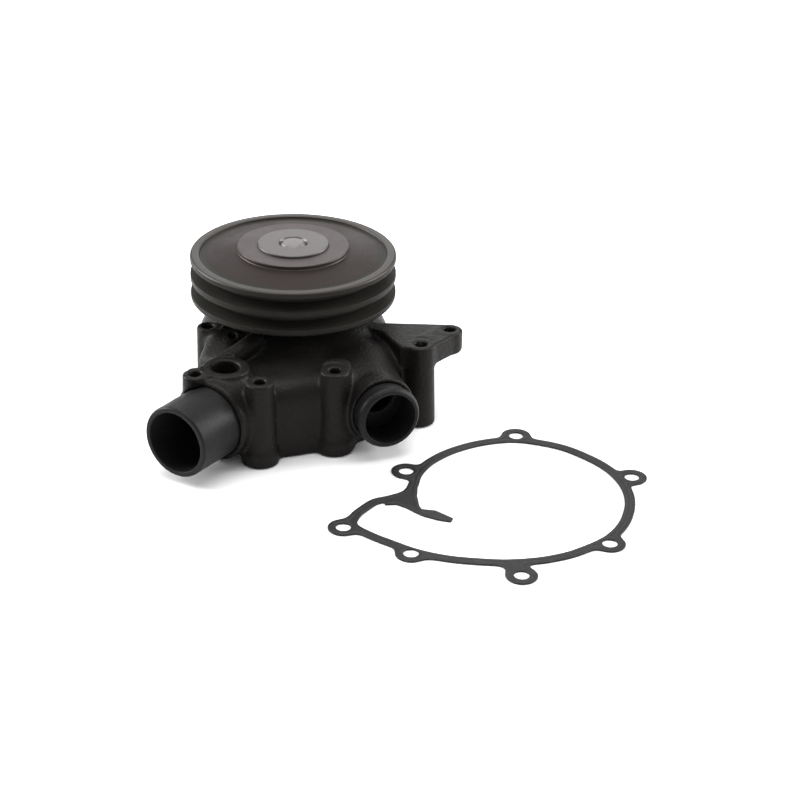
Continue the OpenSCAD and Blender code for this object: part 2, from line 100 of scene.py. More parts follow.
def joined(a, b, fillet):
    """Two solids run together with a cast fillet."""
    h = np.maximum(fillet - np.abs(a - b), 0) / fillet
    return np.minimum(a, b) - h * h * fillet / 4


def both(a, b, edge):
    """Where two solids overlap, with the edge broken."""
    return -joined(-a, -b, edge)


def cut(a, b, edge=1.2):
    """A solid less another, with the edge broken."""
    return both(a, -b, edge)


gx = np.arange(-90, 131, GRID, dtype=np.float32)[:, None, None]
gy = np.arange(-141, 108, GRID, dtype=np.float32)[None, :, None]
gz = np.arange(-3.1, 99, GRID, dtype=np.float32)[None, None, :]


def post(at, low, high, r, draft=0.0, edge=1.5):
    """An upright round boss; draft is how much wider its foot is, in mm per mm."""
    side = np.hypot(gx - at[0], gy - at[1]) - (r + draft * (high - gz))
    return both(side, np.maximum(low - gz, gz - high), edge)


def rod(start, end, r0, r1):
    """A round bar from one point to another, tapering from r0 to r1."""
    a, b = np.array(start, float), np.array(end, float)
    d = b - a
    t = np.clip(((gx - a[0]) * d[0] + (gy - a[1]) * d[1] + (gz - a[2]) * d[2]) / d.dot(d), 0, 1)
    gap = np.sqrt((gx - a[0] - t * d[0]) ** 2 + (gy - a[1] - t * d[1]) ** 2
                  + (gz - a[2] - t * d[2]) ** 2)
    return gap - (r0 + (r1 - r0) * t)


def level_tube(end, way, z, r, back, edge=1.2, flare=0.0):
    """A level cylinder that runs back from its end; flare widens it on the way."""
    s = (gx - end[0]) * way[0] + (gy - end[1]) * way[1]
    across = (gx - end[0]) * -way[1] + (gy - end[1]) * way[0]
    side = np.hypot(across, gz - z) - (r + flare * np.maximum(-s, 0))
    return both(side, np.maximum(-back - s, s), edge)


def slab(outline, low, high, edge=1.2):
    """A flat-topped piece with an outline seen from above."""
    side = outline_distance(outline, gx[:, :, 0], gy[:, :, 0])[:, :, None]
    return both(side, np.maximum(low - gz, gz - high), edge)


def web(a, b, width, low, high, edge=1.2):
    """A flat-sided rib between two points."""
    (ax, ay), (bx, by) = a, b
    n = math.hypot(bx - ax, by - ay)
    ux, uy = (bx - ax) / n * width / 2, (by - ay) / n * width / 2
    return slab([(ax - uy, ay + ux), (ax + uy, ay - ux), (bx + uy, by - ux),
                 (bx - uy, by + ux)], low, high, edge)


flange_line = closed_curve(flange_points, 4)
flange_gap = outline_distance(flange_line, gx[:, :, 0], gy[:, :, 0])[:, :, None]

# the skirt with its round shoulder, the dome and the tower
axis_gap = np.hypot(gx, gy)
lean = 0.02 + 0.16 / (1 + np.exp((gx + 48) / 6))
wall_gap = flange_gap - skirt_wall / 2 + lean * (gz - 8)
skirt = both(wall_gap, np.maximum(-gz, gz - 56.5), 20.0)
skirt = np.where(gz < 20, both(wall_gap, -gz, 0.8), skirt)
dome = both(axis_gap - (62 - 0.6 * (gz - 63)), np.maximum(44 - gz, gz - 72), 14.0)
dome = both(dome, axis_gap - (41 + 1.75 * (78 - gz)), 6.0)
# the roof of the skirt falls away behind, down to the low bosses
fall = np.minimum(0.454 * gy + 0.891 * gz - 44, gz - 28)
skirt = both(skirt, fall, 8.0)
drum = both(axis_gap - 64, np.maximum(-gz, gz - 54), 6.0)
body = joined(joined(skirt, drum, 8.0), dome, 10.0)
body = joined(body, post((0, 0), 30, tower_top, tower_r, 0.03), 12.0)

# the suction neck of the small hose and the pipe bosses
neck_end = (small_mouth[0] - small_way[0] * neck_back, small_mouth[1] - small_way[1] * neck_back)
body = joined(body, level_tube(neck_end, small_way, small_z - 0.5, neck_r, 50, edge=4.0,
                               flare=0.06), 12.0)
small_face = (small_mouth[0] - small_way[0] * small_face_back,
              small_mouth[1] - small_way[1] * small_face_back)
body = joined(body, level_tube(small_face, small_way, small_z, small_r + 3.2, 12), 2.5)
big_face = (big_mouth[0] - big_way[0] * big_face_back, big_mouth[1] - big_way[1] * big_face_back)
body = joined(body, level_tube(big_face, big_way, big_z, big_r + 3.6, 30, edge=3.0), 4.0)
passage_at = (big_mouth[0] - big_way[0] * passage_back + 5 * big_way[1],
              big_mouth[1] - big_way[1] * passage_back - 5 * big_way[0])
body = joined(body, level_tube(passage_at, big_way, big_z, passage_boss_r, 52, edge=6.0), 8.0)

# bolt bosses: the tall front ones, the one at the side, and the low ones at the back
boss_tops = [boss_top, boss_top, boss_top, 28.0, 28.0, 28.0, boss_top + 5]
boss_sizes = [10.0, 10.2, 10.0, 10.0, 10.0, 10.0, 8.2]
for bolt, root, tall, r in zip(bolts, roots, boss_tops, boss_sizes):
    body = joined(body, web(bolt, root, 14.0, 0, min(tall - 5, 50), 3.0), 5.0)
    body = joined(body, post(bolt, 0, tall, r, 0.028 if r > 9 else 0.004), 3.0)
    if bolt[0] < 50:
        body = joined(body, post(bolt, 0, 7, r + 1.3, edge=3.0), 8.0)
# the raised pad behind the middle front boss that its spot face bites into
body = joined(body, post((35.5, -88), 0, boss_top + 0.9, 10.0, 0.06), 4.0)

# sensor port boss, tapped lug, drain rib
body = joined(body, post(port_at, big_z, boss_top, 17.2, 0.03), 3.0)
body = joined(body, rod((-49, -70, 50), (-41, -44, 58), 10.0, 10.0), 6.0)
body = joined(body, rod((-57, -63, 51), (-51, -38, 62), 8.0, 8.0), 5.0)
body = joined(body, rod((-46, -77, 57), (-24, -57, 66), 6.8, 6.8), 4.0)

# bracket arm: a flat plate that ties the dome, the right boss and the far hole together
arm_low = boss_top - arm_t
plate = slab([(111, -15), (104, -42), (98, -58), (88, -57), (80, -56), (74, -46), (67, -32),
              (48, -22), (40, -6), (60, -14.5)], arm_low, boss_top, 1.2)
plate = joined(plate, web(arm_end, bolts[2], 18.5, arm_low, boss_top), 1.5)
plate = joined(plate, post(arm_end, arm_low, boss_top, 10.0, edge=1.2), 1.5)
body = joined(body, plate, 2.5)
# the web under the plate, set back from the right boss, and the thin rib beside it
body = joined(body, web((92, -46), (70, -30), 7.0, 0, 58), 4.0)
body = joined(body, rod((79, -49, 56), (88, -52, 28), 2.2, 2.6), 2.5)

# nothing of the casting stands below the flange face or in front of the large pipe's boss
body = both(body, -gz, 0.6)
ahead = (gx - big_face[0]) * big_way[0] + (gy - big_face[1]) * big_way[1]
aside = np.abs((gx - big_face[0]) * -big_way[1] + (gy - big_face[1]) * big_way[0])
body = cut(body, np.maximum(-ahead, aside - 34), 3.0)
# the tapped lug overhangs the face a little and rests over the pipe
lug = joined(post(side_hole, big_z, boss_top, 9.3, 0.01),
             web(side_hole, port_at, 17.0, big_z, boss_top - 0.2), 2.0)
body = joined(body, lug, 2.5)

# spiral, outlet pocket and suction chamber, left as cast
tongue_gap = outline_distance(tongue, gx[:, :, 0], gy[:, :, 0])[:, :, None]
spiral = both(flange_gap + skirt_wall / 2, np.maximum(-9 - gz, gz - 21), 2.0)
spiral = cut(spiral, np.maximum(tongue_gap, gz - 40), 1.0)
body = cut(body, spiral, 1.0)
body = cut(body, slab(pocket, -9, 43, 4.0), 1.0)
chamber = both(axis_gap - 58, np.maximum(25 - gz, gz - 43), 3.0)
chamber = cut(chamber, np.maximum(axis_gap - 23, 29 - gz), 2.0)
body = cut(body, chamber)
body = cut(body, level_tube(passage_at, big_way, big_z, passage_r, 40))
body = cut(body, level_tube((small_mouth[0] - small_way[0] * 22,
                             small_mouth[1] - small_way[1] * 22), small_way, 39,
                            passage_r, 46))

# machined: pipe sockets, bores, bolt holes, faces of the bosses
body = cut(body, level_tube(big_mouth, big_way, big_z, big_r + socket_play, 50), 0.8)
body = cut(body, level_tube(small_mouth, small_way, small_z, small_r + socket_play, 26), 0.8)
for r, low, high in ((30, 20, 26), (18, -5, 44), (20, 43, 51), (26, 50, 99)):
    body = cut(body, np.maximum(axis_gap - r, np.maximum(low - gz, gz - high)), 0.8)
for bolt, tall in zip(bolts, boss_tops):
    bolt_gap = np.hypot(gx - bolt[0], gy - bolt[1])
    body = cut(body, np.maximum(bolt_gap - spot_face_r, tall - gz), 1.0)
    body = cut(body, bolt_gap - bolt_hole_r, 1.0)
port_gap = np.hypot(gx - port_at[0], gy - port_at[1])
body = cut(body, np.maximum(port_gap - port_face_r, boss_top - gz), 0.8)
for at, r, low in ((port_at, port_r, big_z + 8), (side_hole, tapped_r, 55),
                   (arm_end, bolt_hole_r, 40), (drain_at, drain_r, 50)):
    body = cut(body, np.maximum(np.hypot(gx - at[0], gy - at[1]) - r, low - gz), 1.0)


def skin(field, xs, ys, zs):
    """The surface of a gridded solid as vertices and quads."""
    inside = field < 0
    shape = tuple(n - 1 for n in field.shape)
    total = np.zeros(shape + (3,))
    count = np.zeros(shape)
    quads = []
    for axis in range(3):
        u, v = [a for a in range(3) if a != axis]
        lo = [slice(None)] * 3
        hi = [slice(None)] * 3
        lo[axis], hi[axis] = slice(None, -1), slice(1, None)
        flips = inside[tuple(lo)] != inside[tuple(hi)]
        where = np.argwhere(flips)
        ok = ((where[:, u] > 0) & (where[:, v] > 0) & (where[:, u] < field.shape[u] - 1)
              & (where[:, v] < field.shape[v] - 1))
        where = where[ok]
        a = field[tuple(where.T)]
        ahead = where.copy()
        ahead[:, axis] += 1
        b = field[tuple(ahead.T)]
        point = where.astype(float)
        point[:, axis] += a / (a - b)
        cells = []
        for du, dv in ((0, 0), (1, 0), (1, 1), (0, 1)):
            cell = where.copy()
            cell[:, u] -= du
            cell[:, v] -= dv
            np.add.at(total, tuple(cell.T), point)
            np.add.at(count, tuple(cell.T), 1)
            cells.append(np.ravel_multi_index(tuple(cell.T), shape))
        ring = np.stack(cells, 1)
        turn = (a < 0) != (axis == 1)
        ring[turn] = ring[turn][:, ::-1]
        quads.append(ring)
    used = np.flatnonzero(count.ravel())
    number = np.full(count.size, -1)
    number[used] = np.arange(len(used))
    points = total.reshape(-1, 3)[used] / count.ravel()[used][:, None]
    faces = number[np.concatenate(quads)]
    origin = np.array([xs.ravel()[0], ys.ravel()[0], zs.ravel()[0]], float)
    for _ in range(3):
        points = settled(points, field)
    return origin + points * GRID, faces


def settled(points, field):
    """Points moved onto the true surface, along its slope."""
    base = np.clip(np.floor(points).astype(int), 0, np.array(field.shape) - 2)
    f = points - base
    value = np.zeros(len(points))
    slope = np.zeros((len(points), 3))
    for i in (0, 1):
        for j in (0, 1):
            for k in (0, 1):
                v = field[base[:, 0] + i, base[:, 1] + j, base[:, 2] + k]
                wx = f[:, 0] if i else 1 - f[:, 0]
                wy = f[:, 1] if j else 1 - f[:, 1]
                wz = f[:, 2] if k else 1 - f[:, 2]
                value += v * wx * wy * wz
                slope[:, 0] += v * (2 * i - 1) * wy * wz
                slope[:, 1] += v * (2 * j - 1) * wx * wz
                slope[:, 2] += v * (2 * k - 1) * wx * wy
    size = np.maximum((slope ** 2).sum(1), 0.3 * GRID ** 2)
    move = slope * (value / size)[:, None]
    return points - np.clip(move, -0.35, 0.35)


def add_piece(name, verts, faces, material):
    """A mesh object from lists of points in metres and faces."""
    mesh = bpy.data.meshes.new(name)
    mesh.from_pydata([tuple(v) for v in verts], [], [tuple(f) for f in faces])
    mesh.materials.append(material)
    mesh.validate()
    mesh.polygons.foreach_set("use_smooth", [True] * len(mesh.polygons))
    piece = bpy.data.objects.new(name, mesh)
    bpy.context.scene.collection.objects.link(piece)
    return piece


def new_material(name):
    """A material with its Principled shader, and a helper that adds nodes to it."""
    material = bpy.data.materials.new(name)
    material.use_nodes = True
    tree = material.node_tree
    shader = tree.nodes["Principled BSDF"]

    def node(kind, links=None, **values):
        made = tree.nodes.new(kind)
        for key, value in values.items():
            if key in made.inputs.keys():
                made.inputs[key].default_value = value
            else:
                setattr(made, key, value)
        for socket, source in (links or {}).items():
            tree.links.new(source, made.inputs[socket])
        return made

    return material, tree, shader, node


def shades(node, source, stops, blend="LINEAR"):
    """A colour ramp through the stops, each a place and a colour."""
    ramp = node("ShaderNodeValToRGB", {"Fac": source})
    band = ramp.color_ramp
    band.interpolation = blend
    while len(band.elements) < len(stops):
        band.elements.new(0.5)
    for element, (place, colour) in zip(band.elements, stops):
        element.position = place
        element.color = (*colour, 1)
    return ramp.outputs["Color"]


def black_iron(name, grain, base, edge_wear_and_highlight, rough, sheen):
    """Matte black dip over iron: grain is how deep the sand skin shows."""
    material, tree, shader, node = new_material(name)
    place = node("ShaderNodeTexCoord").outputs["Object"]
    broad = node("ShaderNodeTexNoise", {"Vector": place}, Scale=26.0, Detail=4.0, Roughness=0.6)
    fine = node("ShaderNodeTexNoise", {"Vector": place}, Scale=620.0, Detail=5.0, Roughness=0.65)
    lumps = node("ShaderNodeTexNoise", {"Vector": place}, Scale=190.0, Detail=3.0, Roughness=0.55)
    pits = node("ShaderNodeTexVoronoi", {"Vector": place}, Scale=430.0, Randomness=1.0)
    tone = shades(node, broad.outputs["Fac"], [(0.32, base), (0.68, tuple(c * 1.6 for c in base))])
    # sharp edges get a lighter colour: partly paint rubbed through, partly a painted highlight where
    # edges catch the light
    edge = node("ShaderNodeNewGeometry").outputs["Pointiness"]
    rub = node("ShaderNodeMapRange", {"Value": edge}, **{"From Min": 0.525, "From Max": 0.60})
    wear_and_highlight_patch = node("ShaderNodeMath", {0: rub.outputs["Result"], 1: lumps.outputs["Fac"]},
                 operation="MULTIPLY")
    mix = node("ShaderNodeMix", {"Factor": wear_and_highlight_patch.outputs["Value"]}, data_type="RGBA")
    tree.links.new(tone, mix.inputs["A"])
    mix.inputs["B"].default_value = (*edge_wear_and_highlight, 1)
    tree.links.new(mix.outputs["Result"], shader.inputs["Base Color"])
    dull = node("ShaderNodeMapRange", {"Value": broad.outputs["Fac"]},
                **{"From Min": 0.3, "From Max": 0.7, "To Min": rough - 0.08, "To Max": rough + 0.1})
    tree.links.new(dull.outputs["Result"], shader.inputs["Roughness"])
    skin_height = node("ShaderNodeMath", {0: fine.outputs["Fac"], 1: lumps.outputs["Fac"]},
                       operation="ADD")
    pit_height = node("ShaderNodeMath", {0: skin_height.outputs["Value"],
                                         1: pits.outputs["Distance"]}, operation="ADD")
    bump = node("ShaderNodeBump", {"Height": pit_height.outputs["Value"]}, Strength=grain,
                Distance=0.0004)
    tree.links.new(bump.outputs["Normal"], shader.inputs["Normal"])
    shader.inputs["Specular IOR Level"].default_value = sheen
    return material


# the fourth colour lightens sharp edges: partly wear, partly painted highlight
casting_black = black_iron("casting_black", 0.55, (0.0072, 0.0064, 0.0059),
                           (0.085, 0.081, 0.078), 0.42, 0.11)
points, quads = skin(body, gx, gy, gz)
housing = add_piece("housing_casting", points * MM, quads, casting_black)
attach(housing, "housing")
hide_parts("housing")

# --- Hose pipes --------------------------------------------------------------------------
# Two smooth steel tubes pressed into the casting, under the same black dip. The small one has
# a low bead near its mouth that keeps the hose on; the large one is plain.


def lathe(profile, segments=192, closed=False):
    """A turned part: the profile is a list of (radius, height) in mm."""
    verts, faces = [], []
    rings = []
    for r, z in profile:
        if r < 1e-6:
            rings.append([len(verts)])
            verts.append((0, 0, z * MM))
        else:
            rings.append(list(range(len(verts), len(verts) + segments)))
            for k in range(segments):
                a = 2 * math.pi * k / segments
                verts.append((r * math.cos(a) * MM, r * math.sin(a) * MM, z * MM))
    pairs = list(zip(rings, rings[1:]))
    if closed:
        pairs.append((rings[-1], rings[0]))
    for low, high in pairs:
        for k in range(segments):
            m = (k + 1) % segments
            if len(low) == 1:
                faces.append((low[0], high[m], high[k]))
            elif len(high) == 1:
                faces.append((low[k], low[m], high[0]))
            else:
                faces.append((low[k], low[m], high[m], high[k]))
    return verts, faces


def rounded(corners, segments=4):
    """A closed profile with its corners rounded: each corner is (radius, height, rounding)."""
    out = []
    n = len(corners)
    for i, (r, z, q) in enumerate(corners):
        here = np.array((r, z), float)
        if q <= 0:
            out.append((r, z))
            continue
        before = np.array(corners[i - 1][:2], float) - here
        after = np.array(corners[(i + 1) % n][:2], float) - here
        reach = min(q, 0.45 * np.linalg.norm(before), 0.45 * np.linalg.norm(after))
        a = here + before / np.linalg.norm(before) * reach
        b = here + after / np.linalg.norm(after) * reach
        for k in range(segments + 1):
            t = k / segments
            out.append(tuple((1 - t) ** 2 * a + 2 * t * (1 - t) * here + t * t * b))
    return out


def turned_piece(name, corners, material, segments=192, place=None):
    """A ring turned from a closed profile and set in place."""
    verts, faces = lathe(rounded(corners), segments, closed=True)
    piece = add_piece(name, verts, faces, material)
    if place is not None:
        piece.data.transform(place)
    sharp = piece.modifiers.new("edges", "WEIGHTED_NORMAL")
    sharp.keep_sharp = True
    return piece


def hose_pipe(name, mouth, way, z, length, corners, material):
    """A tube that lies level, its open end at the mouth."""
    place = (Matrix.Translation(((mouth[0] - way[0] * length) * MM,
                                 (mouth[1] - way[1] * length) * MM, z * MM))
             @ Matrix.Rotation(math.atan2(way[1], way[0]), 4, "Z")
             @ Matrix.Rotation(math.pi / 2, 4, "Y"))
    pipe = turned_piece(name, corners, material, 160, place)
    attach(pipe, "housing")
    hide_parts(name[:-5])
    return pipe


pipe_black = black_iron("pipe_black", 0.2, (0.0085, 0.0083, 0.0083), (0.03, 0.03, 0.03), 0.47,
                        0.12)
hose_pipe("large_hose_pipe_tube", big_mouth, big_way, big_z, 50,
          [(big_r - 4, 0, 0.3), (big_r + 0.2, 0, 0.3), (big_r + 0.2, 12.2, 0.5),
           (big_r, 12.4, 0.2), (big_r, 48.8, 1.2), (big_r - 1.0, 50, 0.5),
           (big_r - 4.1, 50, 0.9), (big_r - 4.1, 30, 0)], pipe_black)
hose_pipe("small_hose_pipe_tube", small_mouth, small_way, small_z, 26,
          [(small_r - 2.6, 0, 0.3), (small_r + 0.2, 0, 0.3), (small_r + 0.2, 12.2, 0.5),
           (small_r, 12.4, 0.2), (small_r, 18.2, 2.0), (small_r + 1.7, 20.2, 1.2),
           (small_r + 1.7, 23.4, 1.8), (small_r - 0.3, 26, 0.8), (small_r - 2.6, 26, 0.8),
           (small_r - 2.6, 15, 0)], pipe_black)

# --- Belt pulley -------------------------------------------------------------------------
# Turned from an iron blank, with two V grooves, a thin web and a raised disc round the hub.
# The turning marks show as fine rings under a thin dark phosphate.


def turned_metal(name, colours, rough, ring_depth, metallic=1.0, ring_scale=1400.0, zones=None,
                 shaded_side_z=0.0, edge=None):
    """Machined metal with fine rings round the axis of the pump.

    zones gives each band its start radius (as a part of 80 mm), colour and metal share; below
    the given side height the edge colour takes over, a painted shade on the sides.
    """
    material, tree, shader, node = new_material(name)
    place = node("ShaderNodeTexCoord").outputs["Object"]
    split = node("ShaderNodeSeparateXYZ", {"Vector": place})
    xx = node("ShaderNodeMath", {0: split.outputs["X"], 1: split.outputs["X"]}, operation="MULTIPLY")
    yy = node("ShaderNodeMath", {0: split.outputs["Y"], 1: split.outputs["Y"]}, operation="MULTIPLY")
    rr = node("ShaderNodeMath", {0: xx.outputs["Value"], 1: yy.outputs["Value"]}, operation="ADD")
    r = node("ShaderNodeMath", {0: rr.outputs["Value"]}, operation="SQRT")
    lane = node("ShaderNodeMath", {0: r.outputs["Value"], 1: split.outputs["Z"]}, operation="ADD")
    rings = node("ShaderNodeTexNoise", {"W": lane.outputs["Value"]}, noise_dimensions="1D",
                 Scale=ring_scale, Detail=3.0, Roughness=0.7)
    cloud = node("ShaderNodeTexNoise", {"Vector": place}, Scale=38.0, Detail=5.0, Roughness=0.62)
    specks = node("ShaderNodeTexNoise", {"Vector": place}, Scale=900.0, Detail=2.0)
    tone = shades(node, cloud.outputs["Fac"], [(0.3, colours[0]), (0.7, colours[1])])
    streak = node("ShaderNodeMapRange", {"Value": rings.outputs["Fac"]},
                  **{"From Min": 0.3, "From Max": 0.7, "To Min": 0.82, "To Max": 1.15})
    scale = node("ShaderNodeVectorMath", {0: tone, "Scale": streak.outputs["Result"]},
                 operation="SCALE")
    tinted = scale.outputs["Vector"]
    if zones:
        part = node("ShaderNodeMapRange", {"Value": r.outputs["Value"]}, **{"From Max": 0.08})
        # below the side height the bands give way to the edge colour: painted shade on the sides
        low = node("ShaderNodeMath", {0: split.outputs["Z"]}, operation="LESS_THAN")
        low.inputs[1].default_value = shaded_side_z
        colour_stops = [(z[0], z[1]) for z in zones]
        metal_stops = [(z[0], (z[2],) * 3) for z in zones]
        bands = [shades(node, part.outputs["Result"], colour_stops, "CONSTANT"),
                 shades(node, part.outputs["Result"], metal_stops, "CONSTANT")]
        for k, (band, side_shade) in enumerate(zip(bands, (edge[0], (edge[1],) * 3))):
            pick = node("ShaderNodeMix", {"Factor": low.outputs["Value"]}, data_type="RGBA")
            tree.links.new(band, pick.inputs["A"])
            pick.inputs["B"].default_value = (*side_shade, 1)
            bands[k] = pick.outputs["Result"]
        paint = node("ShaderNodeVectorMath", {0: tinted, 1: bands[0]}, operation="MULTIPLY")
        tinted = paint.outputs["Vector"]
        tree.links.new(bands[1], shader.inputs["Metallic"])
        shader.inputs["Specular IOR Level"].default_value = 0.07
    tree.links.new(tinted, shader.inputs["Base Color"])
    dull = node("ShaderNodeMapRange", {"Value": cloud.outputs["Fac"]},
                **{"From Min": 0.3, "From Max": 0.7, "To Min": rough - 0.05, "To Max": rough + 0.08})
    tree.links.new(dull.outputs["Result"], shader.inputs["Roughness"])
    height = node("ShaderNodeMath", {0: rings.outputs["Fac"], 1: specks.outputs["Fac"]},
                  operation="ADD")
    bump = node("ShaderNodeBump", {"Height": height.outputs["Value"]}, Strength=ring_depth,
                Distance=0.00015)
    tree.links.new(bump.outputs["Normal"], shader.inputs["Normal"])
    shader.inputs["Metallic"].default_value = metallic
    return material


# the dark web band is painted shade in the recess inside the rim; the dark edge colour is painted
# shade on the groove flanks and outer sides
disc_zone = (0.0, (0.068, 0.060, 0.0585), 0.8)
shaded_web_zone = (0.516, (0.023, 0.0175, 0.0162), 0.3)
rim_zone = (0.861, (0.060, 0.057, 0.0545), 0.6)
pulley_dark = turned_metal("pulley_dark", ((0.9, 0.88, 0.87), (1.0, 0.97, 0.955)), 0.44, 0.35, 0.6,
                           zones=[disc_zone, shaded_web_zone, rim_zone],
                           shaded_side_z=0.1108, edge=((0.020, 0.0196, 0.0172), 0.0))
rim_top, land, groove_w, pitch, depth, pulley_r = 112.0, 4.5, 10.5, 14.5, 11.0, 76.0
root_half = (groove_w - 2 * depth * math.tan(math.radians(19))) / 2
upper = rim_top - land - groove_w / 2
corners = [(pulley_r - 1.3, rim_top, 0.8), (pulley_r, rim_top - 1.2, 0.8)]
for mid in (upper, upper - pitch):
    corners += [(pulley_r, mid + groove_w / 2, 0.7), (pulley_r - depth, mid + root_half, 1.0),
                (pulley_r - depth, mid - root_half, 1.0), (pulley_r, mid - groove_w / 2, 0.7)]
corners += [(pulley_r, 79.2, 0.8), (pulley_r - 1.2, 78, 0.8), (60.5, 78, 0.8), (60.5, 101.5, 3),
            (56.5, 105.5, 4), (41.2, 109.5, 3), (24.3, 109.5, 1), (24.3, 110, 0.2),
            (26.28, 110, 0), (26.28, 117.6, 0.4), (41.2, 117.6, 0.9), (41.2, 114.5, 0.8),
            (66.0, 110.3, 3.0), (68.7, 110.3, 0.3), (69.3, 111.7, 0.5), (70.6, rim_top, 0.3)]
pulley = turned_piece("belt_pulley", corners[::-1], pulley_dark, 288)
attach(pulley, "rotor")
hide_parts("pulley")

# --- Hub and shaft -----------------------------------------------------------------------
# The hub is a turned steel flange pressed on the shaft; its face is left bare and bright.
# The shaft end is faced and chamfered, so a dark ring shows between the two.

hub_bright = turned_metal("hub_bright", ((0.094, 0.0865, 0.086), (0.112, 0.1035, 0.103)), 0.44,
                          0.3, 0.85)
hub_face, shaft_end = 119.3, 119.8
corners = [(9.98, 96.85, 0.4), (17, 96.85, 0.6), (17, 110, 0), (26.25, 110, 0.3),
           (26.25, hub_face, 1.2), (11.1, hub_face, 0.15), (10.0, 117.9, 0.1)]
hub = turned_piece("pulley_hub_flange", corners, hub_bright, 192)
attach(hub, "rotor")
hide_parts("pulley_hub")

shaft_bright = turned_metal("shaft_bright", ((0.14, 0.134, 0.132), (0.165, 0.158, 0.155)), 0.44,
                            0.25, 0.9)
verts, faces = lathe([(0, 2.5), (6.6, 2.5), (7.6, 2.9), (8, 3.6), (8, 44.8), (8.3, 45.0),
                      (9.7, 45.0), (10, 45.3), (10, 117.3), (9.8, 117.6), (7.6, 119.6),
                      (7.2, shaft_end), (0, shaft_end)], 160)
shaft = add_piece("pump_shaft", verts, faces, shaft_bright)
shaft.modifiers.new("edges", "WEIGHTED_NORMAL").keep_sharp = True
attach(shaft, "rotor")
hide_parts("shaft")

# --- Flange gasket -----------------------------------------------------------------------
# Thin steel sheet with a dark rubbery coating, stamped out with a bolt hole in each lug. A
# pressed bead runs along the strip and seals the joint. It lies flat beside the pump.

gasket_at, gasket_turn, sheet_t, strip_w, lug_r = (151.0, -158.0), -56.1, 0.8, 7.4, 10.6
gasket_hole_r = 5.2
bead_high, bead_inset, bead_half = 0.4, 2.3, 0.6
PLATE_GRID = 0.5
NUDGE = 0.05
px = np.arange(-90, 115, PLATE_GRID)[:, None]
py = np.arange(-132, 110, PLATE_GRID)[None, :]


def bar_gap(a, b, half, x, y):
    """Distance from a flat bar between two points."""
    ex, ey = b[0] - a[0], b[1] - a[1]
    n = math.hypot(ex, ey)
    along = ((x - a[0]) * ex + (y - a[1]) * ey) / n
    across = np.abs((x - a[0]) * -ey + (y - a[1]) * ex) / n
    return np.maximum(np.maximum(-along, along - n), across - half)


def gasket_gap(x, y):
    """Distance from the edge of the gasket, less than nothing in the sheet."""
    line = outline_distance(flange_line, x, y)
    gap = line - strip_w / 2
    for bolt, root in zip(bolts, roots):
        gap = joined(gap, joined(np.hypot(x - bolt[0], y - bolt[1]) - lug_r,
                                 bar_gap(bolt, root, 7.5, x, y), 4.0), 6.0)
    room = np.maximum(line + strip_w / 2, -outline_distance(tongue, x, y))
    gap = np.maximum(gap, -room)
    for bolt in bolts:
        gap = np.maximum(gap, gasket_hole_r - np.hypot(x - bolt[0], y - bolt[1]))
    return gap


gap = gasket_gap(px, py)
cell = np.minimum.reduce([gap[:-1, :-1], gap[1:, :-1], gap[1:, 1:], gap[:-1, 1:]]) < -0.02
keep = np.zeros(gap.shape, bool)
for di in (0, 1):
    for dj in (0, 1):
        keep[di:di + cell.shape[0], dj:dj + cell.shape[1]] |= cell
number = np.full(gap.shape, -1)
number[keep] = np.arange(keep.sum())
flat = np.stack([np.broadcast_to(px, gap.shape)[keep], np.broadcast_to(py, gap.shape)[keep]], 1)
for _ in range(4):
    here = gasket_gap(flat[:, 0], flat[:, 1])
    sx = gasket_gap(flat[:, 0] + NUDGE, flat[:, 1]) - gasket_gap(flat[:, 0] - NUDGE, flat[:, 1])
    sy = gasket_gap(flat[:, 0], flat[:, 1] + NUDGE) - gasket_gap(flat[:, 0], flat[:, 1] - NUDGE)
    sx, sy = sx / (2 * NUDGE), sy / (2 * NUDGE)
    size = np.maximum(sx * sx + sy * sy, 0.5)
    out = here > -0.25
    flat[out, 0] -= (here * sx / size)[out]
    flat[out, 1] -= (here * sy / size)[out]
inset = -gasket_gap(flat[:, 0], flat[:, 1])
bead = bead_high * np.exp(-((inset - bead_inset) / bead_half) ** 2)
i, j = np.nonzero(cell)
top_faces = np.stack([number[i, j], number[i + 1, j], number[i + 1, j + 1], number[i, j + 1]], 1)
count = len(flat)
verts = np.concatenate([np.column_stack([flat, sheet_t - 0.02 + bead]),
                        np.column_stack([flat, np.zeros(count)])])
edges = np.concatenate([top_faces[:, [a, (a + 1) % 4]] for a in range(4)])
keys = edges.min(1) * count + edges.max(1)
_, first, seen = np.unique(keys, return_index=True, return_counts=True)
rim = edges[first[seen == 1]]
walls = np.column_stack([rim[:, 1], rim[:, 0], rim[:, 0] + count, rim[:, 1] + count])
faces = np.concatenate([top_faces, top_faces[:, ::-1] + count, walls])


